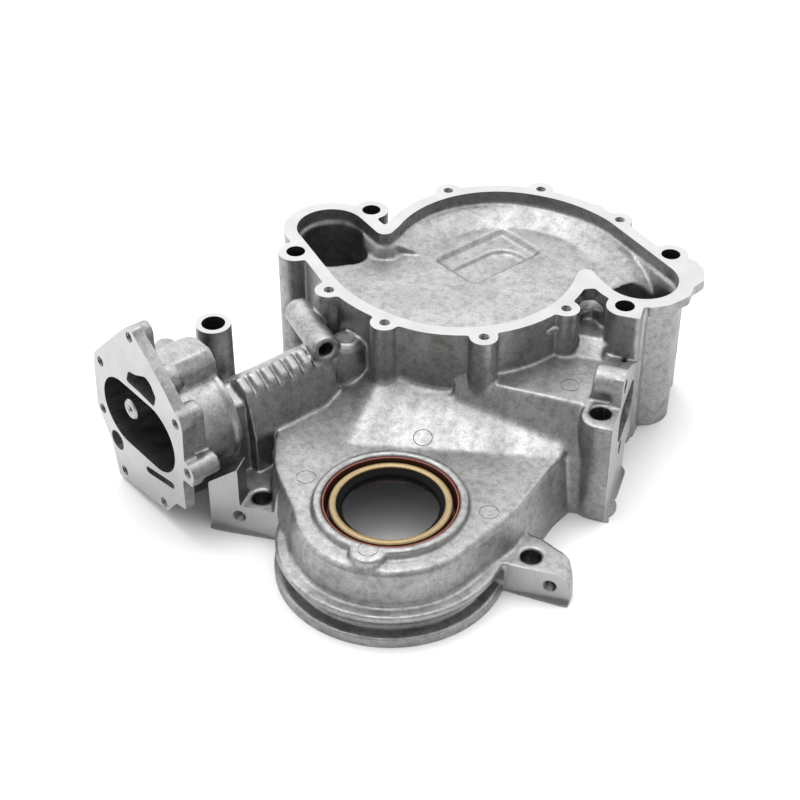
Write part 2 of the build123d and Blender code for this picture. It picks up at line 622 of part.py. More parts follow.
# Whole casting: forms joined, then machined and cored
with BuildPart() as cover_casting:
    add(chest.part)
    with BuildSketch(Plane.XY):
        with Locations((0, pan_face_y - snout_cut_size[1] / 2)):
            Rectangle(*snout_cut_size)
    extrude(amount=snout_flange_high, mode=Mode.SUBTRACT)
    add(snout.part)
    add(water_pod.part)
    add(ramp.part)
    add(fuel_block.part)
    add(notch_block.part)
    add(ears.part)
    add(pump_body.part)
    add(arm.part)
    add(corner_pad.part)
    add(distributor_boss.part)
    with BuildSketch(Plane.XY.offset(chest_h - over)):
        Circle(seal_boss_r)
        with Locations(seal_ear_place):
            Circle(seal_ear_r)
    extrude(amount=seal_boss_h - chest_h + over)

    # Chain space, with the deeper spaces behind the ramp and behind the water pump floor
    with BuildSketch(Plane.XY):
        with BuildLine():
            Polyline((39.0, -20.0), (53.5, 10.0), (58.5, 30.0), (63.5, 51.0), (67.0, 63.0), (66.0, 120.0),
                     (62.0, 138.0), (56.0, 160.0), (44.0, 180.0), (24.0, 190.0), (-24.0, 190.0),
                     (-44.0, 182.0), (-58.0, 150.0), (-64.0, 110.0), (-66.0, 60.0), (-66.0, 30.0),
                     (-60.0, 12.0), (-52.0, -3.0), (-39.0, -20.0))
            ThreePointArc((-39.0, -20.0), (0, -43.8), (39.0, -20.0))
        make_face()
    extrude(amount=chest_h - chest_front_wall, taper=chest_draft, mode=Mode.SUBTRACT)
    add(ramp_space.part, mode=Mode.SUBTRACT)
    with BuildSketch(Plane.XY.offset(cored_from_h)):
        with Locations(cam_space_place):
            Circle(cam_space_r)
        with Locations(cam_side_place):
            Circle(cam_side_r)
    extrude(amount=pocket_floor_h - pocket_floor_t - cored_from_h, mode=Mode.SUBTRACT)
    add(distributor_tube.part)
    with BuildSketch(Plane(origin=(*recess_place, recess_under_h), x_dir=drive_dir, z_dir=(0, 0, 1))):
        Rectangle(recess_size[0] + 2 * recess_wall, recess_size[1] + 2 * recess_wall)
    extrude(amount=pocket_floor_h - recess_under_h - over)
    with BuildSketch(Plane(origin=arm_core_place, x_dir=drive_dir, z_dir=(0, 0, 1))):
        Rectangle(*arm_core_size)
    extrude(amount=drive_h - arm_tube_r - pump_wall, taper=arm_core_taper, mode=Mode.SUBTRACT)

    # Crank seal bore, the shoulder that the seal stops against and the opening below it
    with BuildSketch(Plane.XY.offset(seal_bottom - seal_shoulder_t)):
        Circle(seal_boss_r)
    extrude(amount=chest_h - chest_front_wall + over - seal_bottom + seal_shoulder_t)
    with BuildSketch(Plane.XY):
        Circle(seal_clear_bore_r)
    extrude(amount=seal_top, mode=Mode.SUBTRACT)
    with BuildSketch(Plane.XY.offset(seal_bottom)):
        Circle(seal_r)
    extrude(amount=seal_boss_h - seal_bottom, mode=Mode.SUBTRACT)

    # Water pump pocket, the recess in its floor and the two passages to the block
    with BuildSketch(Plane.XY.offset(rim_h)):
        add(pocket_outline())
        make_face()
    extrude(amount=-pocket_step, mode=Mode.SUBTRACT)
    add(pocket_floor.part, mode=Mode.SUBTRACT)
    add(throat.part, mode=Mode.SUBTRACT)
    with BuildSketch(Plane(origin=(*recess_place, pocket_floor_h), x_dir=drive_dir, z_dir=(0, 0, 1))):
        RectangleRounded(*recess_size, recess_round)
    extrude(amount=-recess_depth, taper=recess_taper, mode=Mode.SUBTRACT)
    with BuildSketch(Plane(origin=(*recess_place, recess_h), x_dir=drive_dir, z_dir=(0, 0, 1))) as slot:
        with Locations(recess_slot_shift):
            Rectangle(*recess_slot_size)
        fillet(slot.vertices().group_by(Axis.X)[-1].sort_by(Axis.Y)[-1], recess_slot_round)
    extrude(amount=-recess_slot_depth, taper=recess_slot_taper, mode=Mode.SUBTRACT)
    with BuildSketch(Plane.XY):
        with Locations(passage_place):
            Circle(passage_r)
        with Locations(passage_side_place):
            Circle(passage_side_r)
    extrude(amount=rim_h - pocket_step, mode=Mode.SUBTRACT)
    with BuildSketch(Plane.XY):
        with Locations(right_column_foot):
            Circle(right_passage_r)
    with BuildSketch(Plane.XY.offset(pocket_floor_h + over)):
        with Locations(right_mouth_place):
            Circle(right_mouth_r)
    loft(mode=Mode.SUBTRACT)

    # Oil pump gear pocket, ports and the drive shaft bore
    with BuildSketch(drive_plane(pump_face_s)):
        with Locations((drive_t - gear_pitch / 2, drive_h)):
            SlotCenterToCenter(gear_pitch, 2 * gear_pocket_r)
    extrude(amount=-gear_pocket_depth, mode=Mode.SUBTRACT)
    with BuildSketch(drive_plane(pump_face_s)):
        with BuildLine():
            Polyline((-122.5, 74.5), (-119.4, 82.1), (-112.8, 83.4), (-103.1, 87.8), (-99.0, 86.0),
                     (-95.1, 80.0), (-97.7, 72.8), (-110.0, 74.1), (-122.5, 74.5))
        make_face()
    extrude(amount=-port_depth, mode=Mode.SUBTRACT)
    with BuildSketch(drive_plane(pump_face_s)):
        with Locations(inlet_port):
            Circle(inlet_r)
    extrude(amount=-(inlet_s - pump_face_s), mode=Mode.SUBTRACT)
    with BuildSketch(Plane(origin=on_drive(inlet_port[0], inlet_s, 0), x_dir=drive_dir, z_dir=(0, 0, 1))):
        Circle(inlet_rise_r)
    extrude(amount=inlet_port[1], mode=Mode.SUBTRACT)
    with BuildSketch(drive_plane(pump_face_s)):
        with Locations(oil_slot_place):
            SlotOverall(*oil_slot_size, rotation=oil_slot_turn)
    extrude(amount=-oil_slot_depth, mode=Mode.SUBTRACT)
    with BuildSketch(drive_plane(pump_face_s)):
        with Locations((drive_t, drive_h)):
            Circle(shaft_bore_r)
    extrude(amount=-(distributor_s - pump_face_s), mode=Mode.SUBTRACT)
    with BuildSketch(drive_plane(distributor_end_s)):
        with Locations((drive_t, drive_h)):
            Circle(distributor_bore_r)
    extrude(amount=distributor_bore_depth, mode=Mode.SUBTRACT)
    with BuildSketch(drive_plane(distributor_end_s)):
        with Locations((drive_t, drive_h)):
            Circle(distributor_shaft_r)
    extrude(amount=distributor_end_s - distributor_s, mode=Mode.SUBTRACT)
    with BuildSketch(drive_plane(distributor_end_s)):
        with Locations(distributor_clamp_place):
            Circle(distributor_clamp_hole_r)
    extrude(amount=distributor_clamp_depth, mode=Mode.SUBTRACT)
    with BuildSketch(drive_plane(pump_face_s)):
        with Locations((drive_t - gear_pitch, drive_h)):
            Circle(idler_r)
    extrude(amount=-idler_bore_depth, mode=Mode.SUBTRACT)

    # Screw holes, each a little shallower than the one before so that no two end in one plane
    for number, place in enumerate(water_screws):
        with BuildSketch(Plane.XY.offset(rim_h)):
            with Locations(place):
                Circle(screw_hole_r)
        extrude(amount=number * screw_depth_step - screw_hole_depth, mode=Mode.SUBTRACT)
    for number, place in enumerate(pump_screws):
        with BuildSketch(drive_plane(pump_face_s)):
            with Locations(place):
                Circle(screw_hole_r)
        extrude(amount=number * screw_depth_step - pump_screw_depth, mode=Mode.SUBTRACT)

    # Through holes
    with BuildSketch(Plane.XY.offset(rim_h)):
        with Locations(*water_bolts):
            Circle(bolt_hole_r)
    extrude(amount=-rim_h, mode=Mode.SUBTRACT)
    with BuildSketch(Plane.XY):
        with Locations(*pan_holes):
            Circle(pan_hole_r)
    extrude(amount=ear_h + over, mode=Mode.SUBTRACT)
    with BuildSketch(Plane.XY):
        with Locations(column_place):
            Circle(column_hole_r)
        with Locations(tube_boss_place):
            Circle(tube_bore_r)
    extrude(amount=tube_boss_h + over, mode=Mode.SUBTRACT)
    with BuildSketch(Plane.XZ.offset(-pan_face_y)):
        with Locations(*pan_threads):
            Circle(pan_thread_r)
    extrude(amount=-pan_thread_depth, mode=Mode.SUBTRACT)
    with BuildSketch(Plane(origin=(*gallery_near, gallery_h), x_dir=(0, 0, 1), z_dir=gallery_dir)):
        Circle(gallery_bore_r)
    extrude(amount=gallery_bore_depth, mode=Mode.SUBTRACT)

    # Fuel pump opening into the chest and its two bolt holes
    with BuildSketch(Plane.YZ.offset(fuel_face_x)):
        with Locations((fuel_open_y, fuel_open_h)):
            RectangleRounded(fuel_open_w, fuel_open_tall, fuel_open_round)
    extrude(amount=-fuel_open_depth, mode=Mode.SUBTRACT)
    with BuildSketch(Plane.YZ.offset(fuel_face_x)):
        with Locations(*fuel_bolts):
            Circle(fuel_bolt_hole_r)
    extrude(amount=-fuel_bolt_depth, mode=Mode.SUBTRACT)

# Crank seal: pressed steel outer case, gold inner case, rubber lip and its spring
with BuildPart() as seal_outer_case:
    with BuildSketch(Plane.XZ):
        with BuildLine():
            Polyline((seal_r, seal_top), (seal_r, seal_bottom), (case_hole_r, seal_bottom),
                     (case_hole_r, seal_bottom + sheet), (seal_r - sheet, seal_bottom + sheet),
                     (seal_r - sheet, seal_top), (seal_r, seal_top))
        make_face()
    revolve(axis=Axis.Z)

with BuildPart() as seal_inner_case:
    with BuildSketch(Plane.XZ):
        with BuildLine():
            Polyline((ring_outer_r, ring_top), (ring_outer_r, seal_bottom + sheet),
                     (rubber_r, seal_bottom + sheet), (rubber_r, ring_top - sheet),
                     (ring_inner_r, ring_top - sheet), (ring_inner_r, ring_top), (ring_outer_r, ring_top))
        make_face()
    revolve(axis=Axis.Z)

with BuildPart() as seal_lip:
    with BuildSketch(Plane.XZ):
        with BuildLine():
            Polyline((rubber_r, ring_top - sheet), (rubber_r, seal_bottom + sheet),
                     (skirt_r, seal_bottom + sheet), (skirt_r, spring_seat_h), (spring_seat_r, spring_seat_h),
                     (spring_seat_r, lip_low), (lip_r + lip_back, lip_low),
                     (lip_r, seal_top - lip_edge_depth), (lip_r, seal_top - lip_edge_depth + lip_edge_t),
                     (ring_inner_r, ring_top - sheet), (rubber_r, ring_top - sheet))
        make_face()
    revolve(axis=Axis.Z)

with BuildPart() as seal_garter_spring:
    with BuildSketch(Plane.XZ):
        with Locations((spring_r, spring_h)):
            RegularPolygon(spring_wire_r, 6)
    revolve(axis=Axis.Z)

# Pin that the idler gear of the oil pump turns on
with BuildPart() as pump_idler_shaft:
    with BuildSketch(drive_plane(pump_face_s + idler_recess)):
        with Locations((drive_t - gear_pitch, drive_h)):
            Circle(idler_r)
            Circle(idler_centre_r, mode=Mode.SUBTRACT)
    extrude(amount=-(idler_bore_depth - idler_recess))

pieces = {
    "cover_casting": cover_casting,
    "seal_outer_case": seal_outer_case,
    "seal_inner_case": seal_inner_case,
    "seal_lip": seal_lip,
    "seal_garter_spring": seal_garter_spring,
    "pump_idler_shaft": pump_idler_shaft,
}

os.makedirs("parts", exist_ok=True)
for label, piece in pieces.items():
    piece.part.label = label
    export_step(piece.part, f"parts/{label}.step")
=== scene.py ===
import json
import math

import bmesh
import bpy
from mathutils import Matrix, Vector


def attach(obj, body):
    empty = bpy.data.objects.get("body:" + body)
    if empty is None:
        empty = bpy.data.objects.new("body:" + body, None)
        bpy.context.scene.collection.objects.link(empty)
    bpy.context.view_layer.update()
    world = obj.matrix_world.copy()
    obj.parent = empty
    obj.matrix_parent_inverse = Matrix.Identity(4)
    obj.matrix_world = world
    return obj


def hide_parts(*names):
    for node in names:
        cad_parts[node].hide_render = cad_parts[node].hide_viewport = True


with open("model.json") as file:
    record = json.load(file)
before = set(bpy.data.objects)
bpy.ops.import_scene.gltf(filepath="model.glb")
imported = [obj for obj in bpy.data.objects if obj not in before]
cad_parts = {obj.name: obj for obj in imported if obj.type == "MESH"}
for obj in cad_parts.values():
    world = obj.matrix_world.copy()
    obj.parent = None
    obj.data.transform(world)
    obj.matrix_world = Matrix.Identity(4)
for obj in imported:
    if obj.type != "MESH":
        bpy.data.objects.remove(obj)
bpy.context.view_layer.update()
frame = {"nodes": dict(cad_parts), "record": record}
MOUNTS = {m["name"]: m for m in frame["record"]["mounts"]}

MM = 0.001
UP = Vector((0, 0, 1))

# Sizes of the casting, in millimetres, in the frame's own axes
RIM_H = 85.0
FUEL_FACE_X = 93.5
PAN_FACE_Y = -1.3
PAN_EAR_X = 58.0
DRIVE_ANGLE = math.radians(57.5)
DRIVE_H = 51.5
DRIVE_T = -102.0
PUMP_FACE_S = -67.6
DISTRIBUTOR_END_S = 216.0
GEAR_PITCH = 26.0
GEAR_POCKET_R = 19.2
GEAR_POCKET_DEPTH = 27.0
TUBE_BOSS_H = 82.0
SEAL_TOP = 41.0
SEAL_BORE_R = 33.35
SEAL_DEPTH = 11.0
SEAL_PLACE = (0, 0, 0)
SEAL_SIDES = 160
RED_EDGE = 0.08
SEAL_LIP_R = 23.5
IDLER_R = 5.7
IDLER_RECESS = 3.0
IDLER_CENTRE_R = 1.6
IDLER_CHAMFER = 0.8
IDLER_SEAT = 10.0

# What the mill takes off: boxes between two corners, in millimetres
MILL_RIM = ((-135, 70, RIM_H), (135, 260, RIM_H + 10))
MILL_GASKET_FACE = ((-200, -80, -10), (160, 280, 0))
MILL_FUEL_FACE = ((FUEL_FACE_X, 58, 1), (FUEL_FACE_X + 8, 127.5, 80))
MILL_RIGHT_EAR = ((PAN_EAR_X, PAN_FACE_Y - 8, 1), (105, PAN_FACE_Y, 40))
MILL_LEFT_EAR = ((-105, PAN_FACE_Y - 8, 1), (-PAN_EAR_X, PAN_FACE_Y, 41.2))
MILL_BOXES = (MILL_RIM, MILL_GASKET_FACE, MILL_FUEL_FACE, MILL_RIGHT_EAR, MILL_LEFT_EAR)

# The same along the pump drive: start and end along it, across it and in height
MILL_PUMP_FACE = (PUMP_FACE_S - 12, PUMP_FACE_S, -175, -50, 0.5, 125)
MILL_DISTRIBUTOR_FACE = (DISTRIBUTOR_END_S, DISTRIBUTOR_END_S + 10, -124, -68, 1, 80)
MILL_TUBE_R = 14
MILL_TUBE_DEPTH = 10

# Bores and threads: how far a drill runs past its hole, the pitch of each thread and its depth
THREAD_PITCH = {"water_pump_screw": 1.27, "oil_pump_screw": 1.27, "oil_pan_thread": 1.41}
THREAD_DEPTH = 9.0
BORE_OVERRUN = 4.0
SEAL_CUT_H = 20.0
GEAR_CUT_OVERRUN = 5.0
PLUG_MARGIN = 1.0

# Stock on the milled faces before their cut, and how round the cast edges are
STOCK = 2.5
VOXEL = 0.8
SMOOTH_STEPS = 10
SKIN_TRIANGLES = 135000

# Where the slope above the seal blends into its surroundings, in millimetres
SLOPE_LOW = (-50.0, 36.0, 37.0)
SLOPE_HIGH = (76.0, 80.0, 62.0)
SLOPE_CLEAR_R = 45.0
SLOPE_FADE = 5.0
SLOPE_STEPS = 70

# Marks that the ejector pins leave: place on the surface, and the way the surface faces
EJECTOR_R = 4.9
EJECTOR_GROOVE = 0.35
EJECTOR_DEPTH = 0.45
EJECTOR_REACH = 3.0
RAMP_NORMAL = (0.0788, -0.380, 1.0)
EJECTOR_MARKS = [
    ((-46.1, 7.2, 38.0), (0, 0, 1)),
    ((46.3, 9.8, 38.0), (0, 0, 1)),
    ((0.0, 52.4, 38.2), RAMP_NORMAL),
    ((65.3, 91.9, 59.5), (0, 0, 1)),
    ((1.1, -36.8, 42.2), (0, 0, 1)),
    ((-52.2, 84.6, 68.0), (0, 0, 1)),
    ((-119.3, 25.2, 86.5), (0, 0, 1)),
]

# The photograph's camera, in millimetres, and how the part is turned under it
CAMERA_DISTANCE = 921.0
CAMERA_PITCH = math.radians(37.6)
CAMERA_LENS = 74.25
PART_YAW = math.radians(17.9)
PART_PLACE = Vector((-4.5, -132.3, 0))

# Floor and light, in metres: the sky is brightest behind and above the part, and dimmest above the camera
FLOOR_SIZE = 4.0
FLOOR_DROP = 0.0001
FLOOR_GREY = 0.9
SKY_BRIGHT_WAY = (-0.1, 0.8, 0.6)
SKY_STRENGTH = 2.2
SKY_STEPS = [(0.12, 0.34), (0.34, 0.16), (0.55, 0.5), (0.75, 0.84), (1.0, 1.0)]
SOFTBOX_PLACE = (-0.2, 0.25, 1.2)
SOFTBOX_AIM = (0, 0.1, 0)
SOFTBOX_SIZE = (0.7, 0.7)
SOFTBOX_POWER = 4.5

drive_dir = Vector((math.cos(DRIVE_ANGLE), math.sin(DRIVE_ANGLE), 0))
drive_side = Vector((math.sin(DRIVE_ANGLE), -math.cos(DRIVE_ANGLE), 0))


def on_drive(t, s, h):
    """Point in metres at t across the pump drive, s along it and h above the gasket face."""
    return (drive_side * t + drive_dir * s + UP * h) * MM


def make_object(name, bm):
    """New object whose mesh is what the bmesh holds."""
    mesh = bpy.data.meshes.new(name)
    bm.to_mesh(mesh)
    bm.free()
    obj = bpy.data.objects.new(name, mesh)
    bpy.context.scene.collection.objects.link(obj)
    return obj


def apply_modifiers(obj):
    """The object's mesh becomes what its modifiers make of it."""
    graph = bpy.context.evaluated_depsgraph_get()
    mesh = bpy.data.meshes.new_from_object(obj.evaluated_get(graph))
    obj.modifiers.clear()
    obj.data = mesh


def turned(axis):
    """Rotation that takes +Z to the axis."""
    return Vector(axis).normalized().to_track_quat("Z", "Y").to_matrix().to_4x4()


def add_cylinder(bm, start, axis, radius, length, sides=64):
    """Closed cylinder from start along axis, in metres."""
    axis = Vector(axis).normalized()
    place = Matrix.Translation(Vector(start) + axis * length / 2) @ turned(axis)
    bmesh.ops.create_cone(bm, cap_ends=True, segments=sides, radius1=radius, radius2=radius,
                          depth=length, matrix=place)


def add_box(bm, low, high):
    """Box between two corners, in millimetres."""
    low, high = Vector(low) * MM, Vector(high) * MM
    place = Matrix.Translation((low + high) / 2) @ Matrix.Diagonal((*(high - low), 1))
    bmesh.ops.create_cube(bm, size=1.0, matrix=place)


def add_drive_box(bm, s0, s1, t0, t1, h0, h1):
    """Box whose sides lie along and across the pump drive, in millimetres."""
    turn = Matrix.Rotation(DRIVE_ANGLE, 4, "Z")
    size = Matrix.Diagonal(((s1 - s0) * MM, (t1 - t0) * MM, (h1 - h0) * MM, 1))
    place = Matrix.Translation(on_drive((t0 + t1) / 2, (s0 + s1) / 2, (h0 + h1) / 2))
    bmesh.ops.create_cube(bm, size=1.0, matrix=place @ turn @ size)


def add_gear_space(bm, s0, s1, radius, sides=48):
    """Two overlapping round pockets for the pump gears as one closed slot, in millimetres."""
    left, right = DRIVE_T - GEAR_PITCH, DRIVE_T
    outline = []
    for i in range(sides + 1):
        a = -math.pi / 2 + math.pi * i / sides
        outline.append((right + radius * math.cos(a), DRIVE_H + radius * math.sin(a)))
    for i in range(sides + 1):
        a = math.pi / 2 + math.pi * i / sides
        outline.append((left + radius * math.cos(a), DRIVE_H + radius * math.sin(a)))
    front = [bm.verts.new(on_drive(t, s0, h)) for t, h in outline]
    back = [bm.verts.new(on_drive(t, s1, h)) for t, h in outline]
    n = len(outline)
    faces = [bm.faces.new(front), bm.faces.new(back[::-1])]
    for i in range(n):
        j = (i + 1) % n
        faces.append(bm.faces.new((front[j], front[i], back[i], back[j])))
    bmesh.ops.recalc_face_normals(bm, faces=faces)


def add_thread(bm, mouth, inward, radius, depth, pitch, sides=24, rows=6):
    """Closed screw form that cuts a thread from the mouth inward, in metres."""
    inward = Vector(inward).normalized()
    place = Matrix.Translation(Vector(mouth)) @ turned(inward)
    over = 0.002
    steps = int((depth + over) / pitch * rows)
    rings = []
    for k in range(steps + 1):
        z = -over + k * pitch / rows
        ring = []
        for i in range(sides):
            a = 2 * math.pi * i / sides
            phase = (z / pitch - i / sides) % 1.0
            ridge = 1 - abs(2 * phase - 1)
            r = radius + 0.55 * pitch * (ridge - 0.25)
            ring.append(bm.verts.new(place @ Vector((r * math.cos(a), r * math.sin(a), z))))
        rings.append(ring)
    faces = [bm.faces.new(rings[0]), bm.faces.new(rings[-1][::-1])]
    for a, b in zip(rings, rings[1:]):
        for i in range(sides):
            j = (i + 1) % sides
            faces.append(bm.faces.new((a[i], a[j], b[j], b[i])))
    bmesh.ops.recalc_face_normals(bm, faces=faces)


# The casting: rounded as cast, then milled, bored and tapped

def drilled_mounts():
    """Name, kind, axis, middle, radius and length of each round hole in the casting, in metres."""
    for name, mount in MOUNTS.items():
        if mount["kind"] not in ("bore", "threaded_hole") or name == "crank_hub_seal":
            continue
        axis = Vector(mount["axis"]).normalized()
        radius = mount["dims"]["r_mm"] * MM
        length = mount["dims"]["length_mm"] * MM
        yield name, mount["kind"], axis, Vector(mount["pos_m"]), radius, length


def thread_mouth(name, axis, pos):
    """Where a tapped hole comes out of its milled face."""
    if name.startswith("water_pump_screw"):
        return Vector((pos.x, pos.y, RIM_H * MM))
    if name.startswith("oil_pump_screw"):
        return pos + axis * (-PUMP_FACE_S * MM + pos.dot(drive_dir))
    return Vector((pos.x, PAN_FACE_Y * MM, pos.z))


def raw_casting():
    """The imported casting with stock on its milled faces, and its bored pockets filled."""
    bm = bmesh.new()
    bm.from_mesh(frame["nodes"]["cover_casting"].data)
    bmesh.ops.remove_doubles(bm, verts=bm.verts, dist=1e-6)
    tiny = 1e-5
    for v in bm.verts:
        p = v.co.copy()
        if abs(p.z - RIM_H * MM) < tiny or abs(p.z - TUBE_BOSS_H * MM) < tiny:
            v.co.z += STOCK * MM
        if abs(p.z) < tiny:
            v.co.z -= STOCK * MM
        if abs(p.dot(drive_dir) - PUMP_FACE_S * MM) < tiny:
            v.co -= drive_dir * STOCK * MM
        if abs(p.dot(drive_dir) - DISTRIBUTOR_END_S * MM) < tiny:
            v.co += drive_dir * STOCK * MM
        if abs(p.x - FUEL_FACE_X * MM) < tiny:
            v.co.x += STOCK * MM
        if abs(p.y - PAN_FACE_Y * MM) < tiny and abs(p.x) > PAN_EAR_X * MM:
            v.co.y -= STOCK * MM
    add_gear_space(bm, PUMP_FACE_S - PLUG_MARGIN, PUMP_FACE_S + GEAR_POCKET_DEPTH + PLUG_MARGIN,
                   GEAR_POCKET_R + PLUG_MARGIN)
    return make_object("casting_skin", bm)


def add_soft_group(obj):
    """Vertex group of the slope above the seal, where the real casting flows without an edge."""
    group = obj.vertex_groups.new(name="slope")
    low, high = Vector(SLOPE_LOW), Vector(SLOPE_HIGH)
    for v in obj.data.vertices:
        p = v.co / MM
        inside = min(*(p - low), *(high - p), math.hypot(p.x, p.y) - SLOPE_CLEAR_R)
        if inside > 0:
            group.add([v.index], min(inside / SLOPE_FADE, 1.0), "REPLACE")


def round_edges(obj):
    """Rounds every edge and corner as a mould leaves them."""
    remesh = obj.modifiers.new("remesh", "REMESH")
    remesh.mode = "VOXEL"
    remesh.voxel_size = VOXEL * MM
    apply_modifiers(obj)
    add_soft_group(obj)
    slope = obj.modifiers.new("slope", "SMOOTH")
    slope.factor = 0.5
    slope.iterations = SLOPE_STEPS
    slope.vertex_group = "slope"
    smooth = obj.modifiers.new("smooth", "SMOOTH")
    smooth.factor = 0.5
    smooth.iterations = SMOOTH_STEPS
    thin = obj.modifiers.new("thin", "DECIMATE")
    thin.ratio = SKIN_TRIANGLES / (2 * len(obj.data.polygons))
    thin.use_collapse_triangulate = True
    apply_modifiers(obj)


def cut(obj, bm, name, material):
    """Takes a closed shape out of the casting; the new faces get the material."""
    cutter = make_object(name, bm)
    cutter.data.materials.append(material)
    boolean = obj.modifiers.new(name, "BOOLEAN")
    boolean.operation = "DIFFERENCE"
    boolean.solver = "MANIFOLD"
    boolean.material_mode = "TRANSFER"
    boolean.object = cutter
    apply_modifiers(obj)
    bpy.data.objects.remove(cutter)


def mill_faces(obj, material, painted_light_material):
    """Takes the stock off the flat faces; the slanted pump and distributor faces get the brighter copy of
    the milled finish, whose extra brightness is painted light.
    """
    bm = bmesh.new()
    for low, high in MILL_BOXES:
        add_box(bm, low, high)
    cut(obj, bm, "milled", material)
    bm = bmesh.new()
    add_drive_box(bm, *MILL_PUMP_FACE)
    add_drive_box(bm, *MILL_DISTRIBUTOR_FACE)
    cut(obj, bm, "milled_slanted", painted_light_material)
    bm = bmesh.new()
    x, y, _ = MOUNTS["tube_bolt"]["pos_m"]
    add_cylinder(bm, (x, y, TUBE_BOSS_H * MM), UP, MILL_TUBE_R * MM, MILL_TUBE_DEPTH * MM)
    cut(obj, bm, "milled_bosses", material)


def bore_holes(obj, material):
    """Bores the gear pocket and the seal's seat, drills the bolt holes and taps the threads."""
    bm = bmesh.new()
    add_gear_space(bm, PUMP_FACE_S - GEAR_CUT_OVERRUN, PUMP_FACE_S + GEAR_POCKET_DEPTH, GEAR_POCKET_R)
    add_cylinder(bm, UP * (SEAL_TOP - SEAL_DEPTH) * MM, UP, SEAL_BORE_R * MM, SEAL_CUT_H * MM, sides=128)
    cut(obj, bm, "bored", material)
    bm = bmesh.new()
    over = BORE_OVERRUN * MM
    for name, kind, axis, pos, radius, length in drilled_mounts():
        if kind == "bore":
            add_cylinder(bm, pos - axis * (length / 2 + over), axis, radius, length + 2 * over, sides=48)
    cut(obj, bm, "drilled", material)
    bm = bmesh.new()
    for name, kind, axis, pos, radius, length in drilled_mounts():
        pitch = THREAD_PITCH.get(name.rsplit("_", 1)[0])
        if kind == "threaded_hole" and pitch:
            depth = min(length, THREAD_DEPTH * MM)
            add_thread(bm, thread_mouth(name, axis, pos), -axis, radius, depth, pitch * MM)
    cut(obj, bm, "tapped", material)


def add_tube(bm, start, axis, inner, outer, length, sides=40):
    """Closed thin-walled tube from start along axis, in metres."""
    place = Matrix.Translation(Vector(start)) @ turned(axis)
    rings = []
    for radius, z in ((inner, 0), (outer, 0), (outer, length), (inner, length)):
        ring = []
        for i in range(sides):
            a = 2 * math.pi * i / sides
            ring.append(bm.verts.new(place @ Vector((radius * math.cos(a), radius * math.sin(a), z))))
        rings.append(ring)
    faces = []
    for k in range(4):
        a, b = rings[k], rings[(k + 1) % 4]
        for i in range(sides):
            j = (i + 1) % sides
            faces.append(bm.faces.new((a[i], a[j], b[j], b[i])))
    bmesh.ops.recalc_face_normals(bm, faces=faces)


def mark_ejectors(obj, material):
    """Cuts the thin ring that each ejector pin leaves."""
    bm = bmesh.new()
    for place, normal in EJECTOR_MARKS:
        normal = Vector(normal).normalized()
        start = Vector(place) * MM - normal * EJECTOR_DEPTH * MM
        add_tube(bm, start, normal, (EJECTOR_R - EJECTOR_GROOVE) * MM, EJECTOR_R * MM, EJECTOR_REACH * MM)
    cut(obj, bm, "ejector_marks", material)


# Materials

def new_material(name, metallic, roughness):
    """Material with its shader and a helper that adds nodes."""
    material = bpy.data.materials.new(name)
    material.use_nodes = True
    tree = material.node_tree
    shader = tree.nodes["Principled BSDF"]
    shader.inputs["Metallic"].default_value = metallic
    shader.inputs["Roughness"].default_value = roughness
    return material, tree, shader


def add_noise(tree, scale, detail, stretch=(1, 1, 1), roughness=0.5):
    """Noise fixed to the part, in its own metres."""
    where = tree.nodes.new("ShaderNodeTexCoord")
    mapping = tree.nodes.new("ShaderNodeMapping")
    mapping.inputs["Scale"].default_value = stretch
    noise = tree.nodes.new("ShaderNodeTexNoise")
    noise.inputs["Scale"].default_value = scale
    noise.inputs["Detail"].default_value = detail
    noise.inputs["Roughness"].default_value = roughness
    tree.links.new(where.outputs["Object"], mapping.inputs["Vector"])
    tree.links.new(mapping.outputs["Vector"], noise.inputs["Vector"])
    return noise.outputs["Fac"]


def add_ramp(tree, value, stops):
    """Colour ramp from a value, with (place, grey or colour) stops."""
    ramp = tree.nodes.new("ShaderNodeValToRGB")
    elements = ramp.color_ramp.elements
    while len(elements) < len(stops):
        elements.new(0.5)
    for element, (place, colour) in zip(elements, stops):
        element.position = place
        rgb = (colour, colour, colour) if isinstance(colour, (int, float)) else colour
        element.color = (*rgb, 1)
    tree.links.new(value, ramp.inputs["Fac"])
    return ramp.outputs["Color"]


def add_mix(tree, share, a, b, blend="MIX"):
    """Mix of two colours; share is a number or an output."""
    mix = tree.nodes.new("ShaderNodeMix")
    mix.data_type = "RGBA"
    mix.blend_type = blend
    if isinstance(share, (int, float)):
        mix.inputs["Factor"].default_value = share
    else:
        tree.links.new(share, mix.inputs["Factor"])
    tree.links.new(a, mix.inputs["A"])
    tree.links.new(b, mix.inputs["B"])
    return mix.outputs["Result"]


def add_bump(tree, shader, layers):
    """Stacks bumps, each (value, height in metres, strength)."""
    last = None
    for value, height, strength in layers:
        bump = tree.nodes.new("ShaderNodeBump")
        bump.inputs["Distance"].default_value = height
        bump.inputs["Strength"].default_value = strength
        tree.links.new(value, bump.inputs["Height"])
        if last:
            tree.links.new(last, bump.inputs["Normal"])
        last = bump.outputs["Normal"]
    tree.links.new(last, shader.inputs["Normal"])


